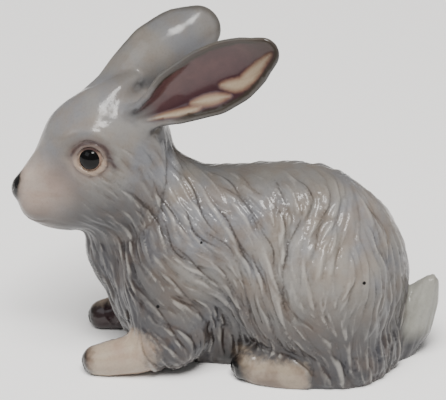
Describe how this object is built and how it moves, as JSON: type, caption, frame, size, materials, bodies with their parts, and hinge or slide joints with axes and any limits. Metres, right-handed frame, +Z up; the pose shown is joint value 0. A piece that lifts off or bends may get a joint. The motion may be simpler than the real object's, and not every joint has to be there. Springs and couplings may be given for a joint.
{
  "type": "hare figurine",
  "caption": "A glazed grey hare crouching with its ears laid back, its coat carved in flowing locks, cast in one piece.",
  "frame": {"origin": "Middle of the underside, on the ground.", "axes": "+X is the hare's left, +Y points to its tail, +Z is up."},
  "size_m": [0.1318, 0.3029, 0.2504],
  "materials": {
    "glaze": "Glossy glaze over hand colouring: cool grey, brown in the creases, cream paws, black nose and toes."
  },
  "bodies": {
    "root": {"hare": "glaze"}
  },
  "joints": []
}
